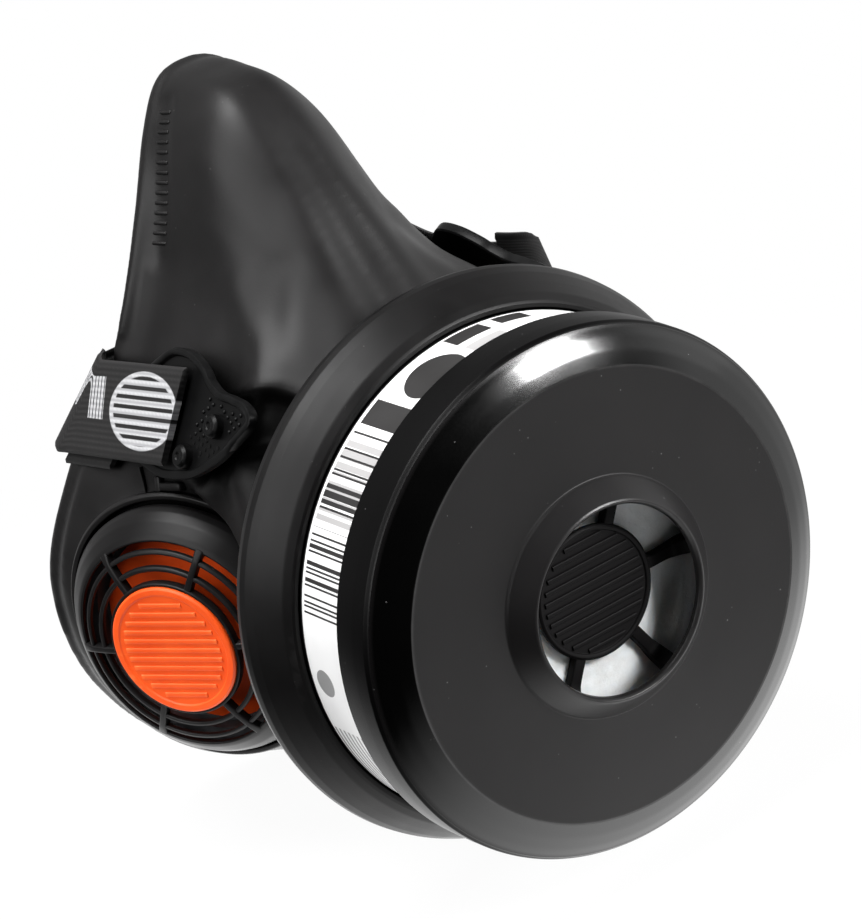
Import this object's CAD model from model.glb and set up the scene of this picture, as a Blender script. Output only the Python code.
"""Half-mask respirator with a round front filter, two side valves and a neck strap.

Shapes are in millimetres until build() turns them into metres. x runs to the right, y runs
back towards the sealing rim and z runs up. The filter looks along -y; "left" is the -x side.
"""

import math

import bmesh
import bpy
import numpy as np
from mathutils import Matrix, Vector


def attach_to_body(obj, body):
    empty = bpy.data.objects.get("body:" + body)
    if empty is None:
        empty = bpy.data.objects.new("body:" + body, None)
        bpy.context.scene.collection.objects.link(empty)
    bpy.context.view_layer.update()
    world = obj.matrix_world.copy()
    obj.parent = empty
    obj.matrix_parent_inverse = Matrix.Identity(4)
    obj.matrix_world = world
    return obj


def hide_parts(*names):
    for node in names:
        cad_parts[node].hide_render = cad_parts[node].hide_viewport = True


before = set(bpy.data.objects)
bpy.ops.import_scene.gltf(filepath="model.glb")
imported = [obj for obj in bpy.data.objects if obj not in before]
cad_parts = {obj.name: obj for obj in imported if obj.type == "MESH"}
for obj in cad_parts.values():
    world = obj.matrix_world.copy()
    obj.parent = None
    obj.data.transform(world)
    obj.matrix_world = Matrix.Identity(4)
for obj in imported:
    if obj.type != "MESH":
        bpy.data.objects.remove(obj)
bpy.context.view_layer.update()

MM = 0.001
SIDES = ((-1, "left"), (1, "right"))
MIRROR = np.array([-1, 1, 1.0])


# ------------------------------------------------------------------ curves
def unit(vector):
    vector = np.asarray(vector, float)
    return vector / np.linalg.norm(vector)


def catmull_rom(a, b, c, d, t):
    """Blend between b and c."""
    return 0.5 * ((2 * b) + (c - a) * t + (2 * a - 5 * b + 4 * c - d) * t * t
                  + (3 * b - a - 3 * c + d) * t ** 3)


def spline(points, steps, closed=False):
    points = np.asarray(points, float)
    n = len(points)
    out = []
    for i in range(n if closed else n - 1):
        around = (i - 1, i, i + 1, i + 2)
        picks = [k % n if closed else min(max(k, 0), n - 1) for k in around]
        out += [catmull_rom(*points[picks], k / steps) for k in range(steps)]
    if not closed:
        out.append(points[-1])
    return np.array(out)


def run_length(points):
    """Distance travelled along a polyline at each of its points."""
    return np.concatenate([[0], np.cumsum(np.linalg.norm(np.diff(points, axis=0), axis=1))])


def smooth(t):
    t = np.clip(t, 0, 1)
    return t * t * (3 - 2 * t)


def rise(x, start, over):
    return smooth((x - start) / over)


def fall(x, end, over):
    return smooth((end - x) / over)


def bell(x, width, centre=0.0):
    return np.exp(-((x - centre) / width) ** 2)


def rounded(corners, steps=5, closed=True):
    """Turn corners, given as (x, y) or (x, y, radius), into arcs."""
    out = []
    n = len(corners)
    for i, corner in enumerate(corners):
        point = np.array(corner[:2], float)
        radius = corner[2] if len(corner) > 2 else 0.0
        if radius <= 0 or (not closed and i in (0, n - 1)):
            out.append(point)
            continue
        before = np.array(corners[i - 1][:2], float) - point
        after = np.array(corners[(i + 1) % n][:2], float) - point
        before_len, after_len = np.linalg.norm(before), np.linalg.norm(after)
        u, v = before / before_len, after / after_len
        angle = math.acos(max(-1, min(1, float(u @ v))))
        if angle > math.pi - 0.02 or angle < 0.02:
            out.append(point)
            continue
        reach = min(radius / math.tan(angle / 2), 0.47 * before_len, 0.47 * after_len)
        fitted = reach * math.tan(angle / 2)
        centre = point + unit(u + v) * fitted / math.sin(angle / 2)
        first, last = point + u * reach - centre, point + v * reach - centre
        sweep = math.acos(max(-1, min(1, float(first @ last) / (fitted * fitted))))
        for k in range(steps + 1):
            t = k / steps
            arm = math.sin((1 - t) * sweep) * first + math.sin(t * sweep) * last
            out.append(centre + arm / math.sin(sweep))
    return np.array(out)


def rounded_box(half_x, half_y, radius, steps):
    return rounded([[-half_x, -half_y, radius], [half_x, -half_y, radius],
                    [half_x, half_y, radius], [-half_x, half_y, radius]], steps)


def ridge(foot, base, crest, top, radius):
    """Open cross-section of a rib: half widths at foot and crest, heights at base and top."""
    return rounded([[-foot, base], [-crest, top, radius], [crest, top, radius], [foot, base]],
                   4, closed=False)


# ------------------------------------------------------------------ local frames
VALVE_AXIS = unit([0.8796, -0.4756, 0])
VALVE_CENTRE = np.array([56.1, 41.6, -7.7])

# the flank frame carries the yoke and the strap; all four are for the right side
STRAP_RUN = np.array([0.07, 0.993, -0.095])
FLANK_DOWN = unit([11, 13, -20])
FLANK_OUT = unit(np.cross(FLANK_DOWN, STRAP_RUN))
FLANK_BACK = np.cross(FLANK_OUT, FLANK_DOWN)
FLANK_ORIGIN = np.array([34.7, 32, 51.0])


def as_is(points):
    return points


def at_filter(points):
    """Local z becomes the filter axis, towards the front."""
    points = np.asarray(points, float)
    return np.stack([points[..., 0], -points[..., 2], points[..., 1]], -1)


def at_valve(side):
    """Local z points out of the valve on the given side."""
    outward = np.array([side * VALVE_AXIS[0], VALVE_AXIS[1], 0])
    across = unit(np.cross([0, 0, 1], outward))
    upward = np.cross(outward, across)
    centre = VALVE_CENTRE * [side, 1, 1]

    def place(points):
        p = np.asarray(points, float)
        return centre + p[..., [0]] * across + p[..., [1]] * upward + p[..., [2]] * outward
    return place


def at_flank(side):
    """Local x runs back, y outward and z down the flank."""
    def place(points):
        p = np.asarray(points, float)
        right = (FLANK_ORIGIN + p[..., [0]] * FLANK_BACK + p[..., [1]] * FLANK_OUT
                 + p[..., [2]] * FLANK_DOWN)
        return right * [side, 1, 1]
    return place


# ------------------------------------------------------------------ solids as (vertices, faces)
def lathe(profile, place, segments):
    """Closed (radius, height) profile spun about the local z axis."""
    profile = np.asarray(profile, float)
    m = len(profile)
    angles = np.linspace(0, 2 * np.pi, segments, endpoint=False)
    verts = np.stack([np.outer(np.cos(angles), profile[:, 0]),
                      np.outer(np.sin(angles), profile[:, 0]),
                      np.tile(profile[:, 1], (segments, 1))], -1)
    faces = []
    for i in range(segments):
        here, ahead = i * m, ((i + 1) % segments) * m
        for j in range(m):
            k = (j + 1) % m
            faces.append((here + j, here + k, ahead + k, ahead + j))
    return place(verts.reshape(-1, 3)), faces


def grid_solid(top, bottom):
    """Closed solid between two equal point grids."""
    rows, cols = top.shape[:2]
    verts = np.concatenate([top.reshape(-1, 3), bottom.reshape(-1, 3)])
    base = rows * cols
    faces = []
    for i in range(rows - 1):
        for j in range(cols - 1):
            quad = (i * cols + j, i * cols + j + 1, (i + 1) * cols + j + 1, (i + 1) * cols + j)
            faces.append(quad)
            faces.append(tuple(base + k for k in reversed(quad)))
    rim = list(range(cols))
    rim += [i * cols + cols - 1 for i in range(1, rows)]
    rim += [(rows - 1) * cols + j for j in range(cols - 2, -1, -1)]
    rim += [i * cols for i in range(rows - 2, 0, -1)]
    for here, ahead in zip(rim, rim[1:] + rim[:1]):
        faces.append((here, base + here, base + ahead, ahead))
    return verts, faces


def stand(grid, floor):
    """Solid from a point grid down to local height floor."""
    low = grid.copy()
    low[..., 2] = floor
    return grid_solid(grid, low)


def prism(outline, levels, place):
    """Closed solid from a 2-D outline swept through levels of (inset, height)."""
    outline = np.asarray(outline, float)
    n = len(outline)
    ahead = np.roll(outline, -1, 0)
    tangents = ahead - np.roll(outline, 1, 0)
    normals = np.stack([tangents[:, 1], -tangents[:, 0]], 1)
    normals /= np.linalg.norm(normals, axis=1, keepdims=True)
    if np.sum(outline[:, 0] * ahead[:, 1] - ahead[:, 0] * outline[:, 1]) < 0:
        normals = -normals
    verts = []
    for inset, height in levels:
        ring = outline - normals * inset
        verts.append(np.stack([ring[:, 0], ring[:, 1], np.full(n, height)], 1))
    faces = []
    for k in range(len(levels) - 1):
        for i in range(n):
            j = (i + 1) % n
            faces.append((k * n + i, k * n + j, (k + 1) * n + j, (k + 1) * n + i))
    faces.append(tuple(range(n))[::-1])
    faces.append(tuple((len(levels) - 1) * n + i for i in range(n)))
    return place(np.concatenate(verts)), faces


def box(x_range, y_range, z_range, place):
    corners = np.array([[x, y, z] for x in x_range for y in y_range for z in z_range], float)
    return place(corners), [(0, 1, 3, 2), (4, 6, 7, 5), (0, 4, 5, 1), (2, 3, 7, 6),
                            (0, 2, 6, 4), (1, 5, 7, 3)]


def rib_field(pitch, reach, section, floor, place):
    """Eleven parallel ribs that fill a disc of radius reach."""
    parts = []
    for k in range(-5, 6):
        y = k * pitch
        half = math.sqrt(reach ** 2 - y * y)
        grid = np.array([[[x, y + q[0], q[1]] for q in section]
                         for x in np.linspace(-half, half, 25)])
        verts, faces = stand(grid, floor)
        parts.append((place(verts), faces))
    return parts


def six_spokes(grid, floor, place, first=0):
    """One spoke lying along local x, repeated six times about z from the angle first."""
    parts = []
    for k in range(6):
        angle = math.radians(first + 60 * k)
        cos, sin = math.cos(angle), math.sin(angle)
        verts, faces = stand(grid, floor)
        parts.append((place(verts @ np.array([[cos, sin, 0], [-sin, cos, 0], [0, 0, 1]])), faces))
    return parts


def join(parts):
    """Several solids as one."""
    verts, faces, base = [], [], 0
    for part_verts, part_faces in parts:
        verts.append(np.asarray(part_verts, float))
        faces += [tuple(i + base for i in face) for face in part_faces]
        base += len(part_verts)
    return np.concatenate(verts), faces


def mirrored(part):
    verts, faces = part
    return verts * MIRROR, [tuple(reversed(face)) for face in faces]


# ------------------------------------------------------------------ objects
def shade(mesh, sharp_angle):
    mesh.shade_smooth()
    bm = bmesh.new()
    bm.from_mesh(mesh)
    for edge in bm.edges:
        pair = len(edge.link_faces) == 2
        edge.smooth = pair and edge.calc_face_angle(0) < math.radians(sharp_angle)
    bm.to_mesh(mesh)
    bm.free()


def build(name, solid, material=None, uv=None, sharp_angle=32, weld=1e-6):
    """Mesh object from a solid in millimetres; uv holds one pair per vertex."""
    verts, faces = solid
    mesh = bpy.data.meshes.new(name)
    mesh.from_pydata((np.asarray(verts, float) * MM).tolist(), [],
                     [tuple(int(i) for i in face) for face in faces])
    if uv is not None:
        layer = mesh.uv_layers.new(name="UVMap")
        index = np.zeros(len(mesh.loops), np.int32)
        mesh.loops.foreach_get("vertex_index", index)
        layer.data.foreach_set("uv", np.asarray(uv, np.float32)[index].ravel())
    bm = bmesh.new()
    bm.from_mesh(mesh)
    if weld:
        bmesh.ops.remove_doubles(bm, verts=bm.verts, dist=weld)
    bmesh.ops.recalc_face_normals(bm, faces=bm.faces)
    bm.to_mesh(mesh)
    bm.free()
    mesh.validate()
    shade(mesh, sharp_angle)
    obj = bpy.data.objects.new(name, mesh)
    bpy.context.scene.collection.objects.link(obj)
    if material is not None:
        mesh.materials.append(material)
    return obj


def apply_modifiers(obj):
    depsgraph = bpy.context.evaluated_depsgraph_get()
    depsgraph.update()
    mesh = bpy.data.meshes.new_from_object(obj.evaluated_get(depsgraph),
                                           preserve_all_data_layers=True, depsgraph=depsgraph)
    obj.modifiers.clear()
    old = obj.data
    obj.data = mesh
    bpy.data.meshes.remove(old)


def boolean(obj, other, operation):
    modifier = obj.modifiers.new("b", "BOOLEAN")
    modifier.operation = operation
    modifier.solver = "MANIFOLD"
    modifier.object = other
    apply_modifiers(obj)


def remove(obj):
    mesh = obj.data
    bpy.data.objects.remove(obj)
    bpy.data.meshes.remove(mesh)


def combine(obj, solid, operation):
    """Boolean with a throwaway object made from a solid."""
    tool = build("tool", solid, weld=0)
    boolean(obj, tool, operation)
    remove(tool)


def attach(obj, body, node, replaces=True):
    """Register a piece; one that replaces nothing only borrows the node's slot."""
    if replaces:
        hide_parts(node)
    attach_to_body(obj, body)


# ------------------------------------------------------------------ shader graphs
def operator(kind, swapped=False):
    def method(self, other=0.0):
        pair = (other, self) if swapped else (self, other)
        return self.graph.math(kind, *pair, 0.0)
    return method


class Value:
    """A shader output; arithmetic on it makes Math nodes."""

    def __init__(self, graph, socket):
        self.graph = graph
        self.socket = socket

    __add__ = operator("ADD")
    __radd__ = operator("ADD", swapped=True)
    __sub__ = operator("SUBTRACT")
    __rsub__ = operator("SUBTRACT", swapped=True)
    __mul__ = operator("MULTIPLY")
    __truediv__ = operator("DIVIDE")
    __pow__ = operator("POWER")
    __gt__ = operator("GREATER_THAN")
    __lt__ = operator("LESS_THAN")
    __abs__ = operator("ABSOLUTE")
    sqrt = operator("SQRT")
    floor = operator("FLOOR")
    fract = operator("FRACT")
    larger = operator("MAXIMUM")
    smaller = operator("MINIMUM")

    def between(self, low, high):
        return (self > low) * (self < high)


class Graph:
    """A cleared node tree with short ways to fill it."""

    def __init__(self, tree):
        self.tree = tree
        tree.nodes.clear()

    def node(self, kind, **settings):
        node = self.tree.nodes.new(kind)
        for key, setting in settings.items():
            setattr(node, key, setting)
        return node

    def link(self, output, socket):
        self.tree.links.new(output, socket)

    def put(self, socket, value):
        """Link a Value or set a constant; a colour is three numbers."""
        if isinstance(value, Value):
            self.link(value.socket, socket)
        else:
            socket.default_value = (*value, 1.0) if isinstance(value, tuple) else value

    def math(self, kind, *operands, clamp=False):
        node = self.node("ShaderNodeMath", operation=kind, use_clamp=clamp)
        for socket, operand in zip(node.inputs, operands):
            self.put(socket, operand)
        return Value(self, node.outputs[0])

    def ramp(self, x, start, stop, low=0.0, high=1.0, kind="LINEAR"):
        """Map x from start..stop to low..high, held at both ends."""
        node = self.node("ShaderNodeMapRange", clamp=True, interpolation_type=kind)
        for socket, value in zip(node.inputs, (x, start, stop, low, high)):
            self.put(socket, value)
        return Value(self, node.outputs[0])

    def split(self, vector):
        node = self.node("ShaderNodeSeparateXYZ")
        self.link(vector, node.inputs[0])
        return [Value(self, output) for output in node.outputs]

    def mix_shaders(self, factor, first, second):
        node = self.node("ShaderNodeMixShader")
        for socket, output in zip(node.inputs, (factor, first, second)):
            self.link(output, socket)
        return node.outputs[0]


class Material(Graph):
    """A Principled material."""
    INPUTS = {"color": "Base Color", "rough": "Roughness", "spec": "Specular IOR Level",
              "sheen": "Sheen Weight", "sheen_rough": "Sheen Roughness",
              "scatter": "Subsurface Weight", "scatter_scale": "Subsurface Scale"}

    def __init__(self, name):
        self.material = bpy.data.materials.new(name)
        self.material.use_nodes = True
        super().__init__(self.material.node_tree)
        self.output = self.node("ShaderNodeOutputMaterial")
        self.surface = self.node("ShaderNodeBsdfPrincipled")
        self.link(self.surface.outputs[0], self.output.inputs[0])
        self.coord = self.node("ShaderNodeTexCoord")
        self.last_bump = None

    def position(self):
        return self.split(self.coord.outputs["Object"])

    def uv(self):
        return self.split(self.coord.outputs["UV"])[:2]

    def mix(self, amount, base, over):
        node = self.node("ShaderNodeMix", data_type="RGBA")
        self.put(node.inputs[0], amount)
        self.put(node.inputs[6], base)
        self.put(node.inputs[7], over)
        return Value(self, node.outputs[2])

    def tone(self, field, dark, light, start=0.3, stop=0.7):
        return self.mix(self.ramp(field, start, stop), dark, light)

    def noise(self, scale, detail=2.0, rough=0.5, distortion=0.0):
        node = self.node("ShaderNodeTexNoise")
        self.link(self.coord.outputs["Object"], node.inputs["Vector"])
        node.inputs["Scale"].default_value = scale
        node.inputs["Detail"].default_value = detail
        node.inputs["Roughness"].default_value = rough
        node.inputs["Distortion"].default_value = distortion
        return Value(self, node.outputs["Fac"])

    def dust(self, scale, reach, patches):
        """Small specks gathered in patches."""
        cells = self.node("ShaderNodeTexVoronoi")
        self.link(self.coord.outputs["Object"], cells.inputs["Vector"])
        cells.inputs["Scale"].default_value = scale
        specks = self.ramp(Value(self, cells.outputs["Distance"]), start=reach, stop=0.03)
        return specks * self.ramp(self.noise(patches, detail=1), start=0.60, stop=0.68)

    def edges(self, full=0.56):
        geometry = self.node("ShaderNodeNewGeometry")
        return self.ramp(Value(self, geometry.outputs["Pointiness"]), start=0.51, stop=full)

    def wave(self, x):
        """Sine of x moved to the range 0 to 1."""
        return self.math("SINE", x) * 0.5 + 0.5

    def bump(self, height, strength, distance):
        node = self.node("ShaderNodeBump")
        node.inputs["Strength"].default_value = strength
        node.inputs["Distance"].default_value = distance
        self.put(node.inputs["Height"], height)
        if self.last_bump is not None:
            self.link(self.last_bump, node.inputs["Normal"])
        self.last_bump = node.outputs[0]
        self.link(self.last_bump, self.surface.inputs["Normal"])

    def set(self, **values):
        for key, value in values.items():
            self.put(self.surface.inputs[self.INPUTS[key]], value)


# ------------------------------------------------------------------ materials
def moulded(name, dark, light, rough, spec=0.24, grain=2600, grain_bump=0.12, wear=0.35,
            speck=0.5, nook=None, hollows=()):
    """Moulded rubber or plastic: cloudy tone, fine grain, dust specks, paler worn edges.

    nook is the reach in metres of the darkening in hollows; hollows places more of it, as
    (x on either side, y, z, reach) in metres.
    """
    m = Material(name)
    cloud = m.noise(scale=45, detail=3, rough=0.55)
    fine = m.noise(grain, rough=0.6)
    color = m.tone(cloud, dark, light)
    color = m.mix(m.dust(scale=520, reach=0.10, patches=210) * speck,
                  base=color, over=(0.13, 0.128, 0.125))
    if wear:
        worn = m.edges() * (m.ramp(m.noise(scale=330, detail=3), start=0.35, stop=0.7) * wear)
        color = m.mix(worn, color, over=tuple(min(1, 2.2 * x + 0.010) for x in light))
    roughness = m.ramp(m.noise(scale=90, detail=4, rough=0.6), start=0.25, stop=0.75,
                       low=rough - 0.05, high=rough + 0.06) + fine * 0.05
    if nook:
        occlusion = m.node("ShaderNodeAmbientOcclusion", samples=8)
        occlusion.inputs["Distance"].default_value = nook
        openness = m.ramp(Value(m, occlusion.outputs["AO"]),
                          start=0.28, stop=0.60, low=0.05, high=1.0)
        for x0, y0, z0, reach in hollows:
            x, y, z = m.position()
            squared = (abs(x) - x0) ** 2.0 + ((y - y0) ** 2.0 + (z - z0) ** 2.0)
            openness = openness.smaller(
                m.ramp(squared.sqrt(), start=0.55 * reach, stop=reach, low=0.12, high=1.0))
        color = m.mix(openness, base=(0.0006, 0.0006, 0.0006), over=color)
        spec = openness * spec
    m.set(color=color, rough=roughness, spec=spec)
    m.bump(fine, strength=grain_bump, distance=0.0001)
    m.bump(cloud, strength=0.06, distance=0.0006)
    return m.material


def cap_plastic():
    """Fine matt front face and collar, glossy bevel, satin side."""
    m = Material("cap_plastic")
    x, y, z = m.position()
    radius = (x ** 2.0 + z ** 2.0).sqrt()
    forward = y * -1.0

    # zones, by radius and by distance forward, in metres
    face = m.ramp(radius, start=0.0469, stop=0.0465)
    side = m.ramp(forward, start=0.0412, stop=0.0404) * (1.0 - face)
    deep = face * m.ramp(forward, start=0.0420, stop=0.0405)
    collar = (m.ramp(radius, start=0.0258, stop=0.0252)
              * m.ramp(forward, start=0.0440, stop=0.0446))
    gloss = m.math("SUBTRACT", 1.0, face.larger(side), 0.0, clamp=True)

    cloud = m.noise(scale=30, detail=4, rough=0.6)
    fine = m.noise(scale=2600, rough=0.6)
    color = m.tone(cloud, dark=(0.0052, 0.0048, 0.0050), light=(0.0080, 0.0074, 0.0076))
    color = m.mix(gloss, color, over=(0.0008, 0.0008, 0.0008))
    color = m.mix(side.larger(deep), color,
                  over=m.mix(side, base=(0.0048, 0.0044, 0.0046), over=(0.0010, 0.0009, 0.0010)))
    color = m.mix(m.dust(scale=430, reach=0.09, patches=150) * 0.5, color, over=(0.2, 0.2, 0.2))

    # broken wear along the face's outer edge and the collar's mouth
    near = m.ramp(abs(radius - 0.0468), start=0.0005, stop=0.0001).larger(
        m.ramp(abs(radius - 0.0204), start=0.0006, stop=0.0002))
    wear = (near * m.ramp(forward, start=0.0385, stop=0.0395)
            * m.ramp(m.noise(scale=260, detail=3), start=0.35, stop=0.7, low=0.05, high=0.35))
    color = m.mix(wear, color, over=(0.035, 0.034, 0.034))

    # roughness and specular level added up from the share of each zone
    rough = (face * 0.50 + side * 0.38) - collar * 0.17
    rough = rough + gloss * m.ramp(m.noise(scale=70, detail=4),
                                   start=0.3, stop=0.7, low=0.13, high=0.17)
    rough = rough + (fine - 0.5) * 0.06
    spec = ((0.24 + collar * 0.06) + gloss * 0.40) - side.larger(deep) * 0.16
    m.set(color=color, rough=rough, spec=spec)
    # the glossy zone loses nearly all its grain
    m.bump(fine * (1.0 - gloss * 0.92), strength=0.14, distance=0.0001)
    return m.material


def badge_orange():
    m = Material("badge_orange")
    cloud = m.noise(scale=120, detail=3)
    fine = m.noise(scale=2300, rough=0.6)
    color = m.tone(cloud, dark=(0.86, 0.078, 0.006), light=(0.95, 0.105, 0.010))
    color = m.mix(m.edges(full=0.57) * 0.35, color, over=(1.0, 0.22, 0.05))
    m.set(color=color, rough=m.ramp(cloud, start=0.2, stop=0.8, low=0.42, high=0.52), spec=0.35)
    m.bump(fine, strength=0.08, distance=0.0001)
    return m.material


def membrane_silicone():
    m = Material("membrane_silicone")
    cloud = m.noise(scale=90, detail=3)
    m.set(color=m.tone(cloud, dark=(0.70, 0.060, 0.006), light=(0.85, 0.085, 0.008)),
          rough=m.ramp(cloud, start=0.2, stop=0.8, low=0.5, high=0.62), spec=0.12)
    m.bump(m.noise(scale=900), strength=0.1, distance=0.0001)
    return m.material


def prefilter_felt():
    m = Material("prefilter_felt")
    fibres = m.noise(scale=1500, detail=4, rough=0.75, distortion=1.5)
    clumps = m.noise(scale=260, detail=3, rough=0.6)
    pale = (0.93, 0.93, 0.92)
    color = m.tone(clumps, dark=(0.80, 0.79, 0.77), light=pale)
    color = m.mix(m.ramp(fibres, start=0.45, stop=0.75, high=0.35), color, over=pale)
    m.set(color=color, rough=0.75, spec=0.3, sheen=0.35, scatter=0.55, scatter_scale=0.009)
    m.surface.inputs["Subsurface Radius"].default_value = (1.0, 0.85, 0.75)
    m.bump(fibres, strength=0.5, distance=0.0003)
    m.bump(clumps, strength=0.3, distance=0.0008)
    return m.material


def filter_paper():
    m = Material("filter_paper")
    fibres = m.noise(scale=1900, detail=4, rough=0.75, distortion=1.0)
    m.set(color=m.tone(fibres, dark=(0.74, 0.73, 0.67), light=(0.88, 0.87, 0.82)),
          rough=0.85, spec=0.2, sheen=0.2)
    m.bump(fibres, strength=0.4, distance=0.0002)
    return m.material


def label_print():
    """Printed sleeve: u in degrees from the top towards the left, v in mm from its rear edge."""
    m = Material("label_print")
    u, v = m.uv()
    mm_per_degree = 0.93

    def bars(start, stop, step, density, seed):
        """Field of bars, each present or not at random."""
        field = u.between(start, stop)
        random = m.node("ShaderNodeTexWhiteNoise", noise_dimensions="1D")
        m.put(random.inputs["W"], (u / step).floor() + seed)
        return field * (Value(m, random.outputs["Value"]) < density)

    def block(u_start, u_stop, v_start, v_stop):
        return u.between(u_start, u_stop) * v.between(v_start, v_stop)

    def spot(u_centre, v_centre, radius):
        squared = ((u - u_centre) * mm_per_degree) ** 2.0 + (v - v_centre) ** 2.0
        return squared.sqrt() < radius

    # two fields of bars, held back from both edges
    inset = (v < 14.6) * (v > 1.2)
    ink = bars(start=56.0, stop=75.0, step=0.46, density=0.52, seed=91.0)
    ink = ink.larger(bars(start=34.0, stop=53.5, step=0.50, density=0.38, seed=3.0))
    ink = ink * inset
    pale = bars(start=34.0, stop=54.5, step=0.74, density=0.42, seed=47.0) * inset
    # disc and blocks towards the top
    ink = ink.larger(spot(u_centre=15.5, v_centre=10.4, radius=6.9))
    for u_start, u_stop, v_start, v_stop in (
            (25.5, 32.0, 1.4, 14.8), (-4.0, 5.6, 1.0, 6.2), (-15.0, -7.0, 1.0, 5.6)):
        ink = ink.larger(block(u_start, u_stop, v_start, v_stop))
    pale = pale.larger(block(u_start=-4.0, u_stop=5.6, v_start=8.6, v_stop=14.6))
    # soft grey rules and a dot lower down
    rule = (v * 0.62).fract() > 0.55
    rules = rule * u.between(103.0, 150.0)
    dot = spot(u_centre=90.5, v_centre=5.2, radius=3.0)
    far_rules = rule * (u > 165.0)

    color = m.tone(m.noise(scale=60, detail=3), dark=(0.74, 0.74, 0.74), light=(0.83, 0.83, 0.83))
    dark_edge = v < 0.35
    color = m.mix(pale * 0.7, color, over=(0.20, 0.19, 0.19))
    color = m.mix(ink.larger(dark_edge), color, over=(0.020, 0.019, 0.019))
    color = m.mix(rules.larger(dot.larger(far_rules)) * 0.8, color, over=(0.10, 0.10, 0.10))
    rough = m.ramp(m.noise(scale=120, detail=3), start=0.3, stop=0.7, low=0.28, high=0.4)
    m.set(color=color, rough=rough, spec=0.5)
    m.bump(m.noise(scale=160), strength=0.05, distance=0.0004)
    return m.material


def webbing(name, dark, light, marks=False):
    """Woven strap: u along it and v across it, both in millimetres."""
    m = Material(name)
    u, v = m.uv()
    rib, pick = 1.25, 0.55  # pitch across and along the strap
    ribs = m.wave(v * (2 * math.pi / rib))
    picks = m.wave(u * (2 * math.pi / pick) + (v / rib).floor() * math.pi)
    weave = ribs * 0.65 + (ribs * picks) * 0.6
    fuzz = m.noise(scale=2800, detail=3, rough=0.7)
    color = m.tone(weave, dark, light, start=0.1, stop=1.1)
    color = m.mix(m.ramp(fuzz, start=0.62, stop=0.80, high=0.25), color,
                  over=tuple(min(1, 3 * x) for x in light))
    if marks:
        # oval woven patch with parallel stripes
        radius = (((u - 21.1) / 13.6) ** 2.0 + ((v - 10.1) / 8.4) ** 2.0).sqrt()
        patch = m.ramp(radius, start=1.01, stop=0.985)
        stripe = m.ramp(abs((v / 2.1).fract() - 0.5), start=0.24, stop=0.18)
        stripe = stripe * m.ramp(radius, start=0.90, stop=0.87)
        # finely hatched block further along
        hatch = m.ramp(abs((u / 1.3).fract() - 0.5), start=0.40, stop=0.34)
        block = (m.ramp(abs(u - 40.4), start=3.2, stop=3.0)
                 * m.ramp(abs(v - 8.2), start=4.7, stop=4.5))
        white = (patch * (1.0 - stripe)).larger(hatch * block)
        yarn = m.tone(picks * ribs, dark=(0.30, 0.30, 0.31), light=(0.52, 0.52, 0.53), start=0.0)
        color = m.mix(white, color, over=yarn)
        m.bump(patch.larger(block), strength=0.6, distance=0.0002)
    rough = m.ramp(m.noise(scale=70, detail=3), start=0.3, stop=0.7, low=0.66, high=0.82)
    m.set(color=color, rough=rough, spec=0.3, sheen=0.05, sheen_rough=0.4)
    m.bump(weave, strength=0.28, distance=0.00022)
    m.bump(fuzz, strength=0.2, distance=0.0001)
    return m.material


MATERIALS = {
    "soft": moulded(
        "soft_rubber", dark=(0.0055, 0.0052, 0.0053), light=(0.0085, 0.0080, 0.0082),
        rough=0.40, spec=0.21, grain=1900, grain_bump=0.16, wear=0.25, nook=0.014,
        hollows=((0.0345, 0.0150, 0.0390, 0.0130), (0.0385, 0.0250, 0.0350, 0.0125))),
    "mount": moulded(
        "mount_rubber", dark=(0.0035, 0.0033, 0.0034), light=(0.0055, 0.0052, 0.0053),
        rough=0.38, spec=0.16, grain=2400, grain_bump=0.10, wear=0.4, nook=0.010),
    "case": moulded(
        "case_plastic", dark=(0.006, 0.006, 0.0062), light=(0.010, 0.010, 0.0104),
        rough=0.40, wear=0.3),
    "grille": moulded(
        "grille_plastic", dark=(0.0050, 0.0047, 0.0048), light=(0.0080, 0.0076, 0.0078),
        rough=0.34, spec=0.15, grain=3000, grain_bump=0.07, wear=0.5),
    "inner": moulded(
        "inner_plastic", dark=(0.040, 0.040, 0.043), light=(0.055, 0.055, 0.058),
        rough=0.45, wear=0.3),
    "yoke": moulded(
        "yoke_plastic", dark=(0.0016, 0.0016, 0.0017), light=(0.0028, 0.0028, 0.0029),
        rough=0.34, spec=0.11, grain=3000, grain_bump=0.06, wear=0.3),
    "gasket": moulded(
        "gasket_foam", dark=(0.07, 0.07, 0.075), light=(0.11, 0.11, 0.115),
        rough=0.8, grain=1300, grain_bump=0.5, wear=0),
    "glue": moulded(
        "potting", dark=(0.50, 0.47, 0.38), light=(0.62, 0.60, 0.50),
        rough=0.35, grain=500, grain_bump=0.2, wear=0, speck=0.1),
    "cap": cap_plastic(),
    "badge": badge_orange(),
    "membrane": membrane_silicone(),
    "felt": prefilter_felt(),
    "paper": filter_paper(),
    "label": label_print(),
    "web": webbing("webbing", dark=(0.0050, 0.0047, 0.0049), light=(0.0115, 0.0108, 0.0110),
                   marks=True),
    "web_under": webbing("webbing_under", dark=(0.0035, 0.0034, 0.0036),
                         light=(0.0080, 0.0076, 0.0078)),
}

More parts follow.
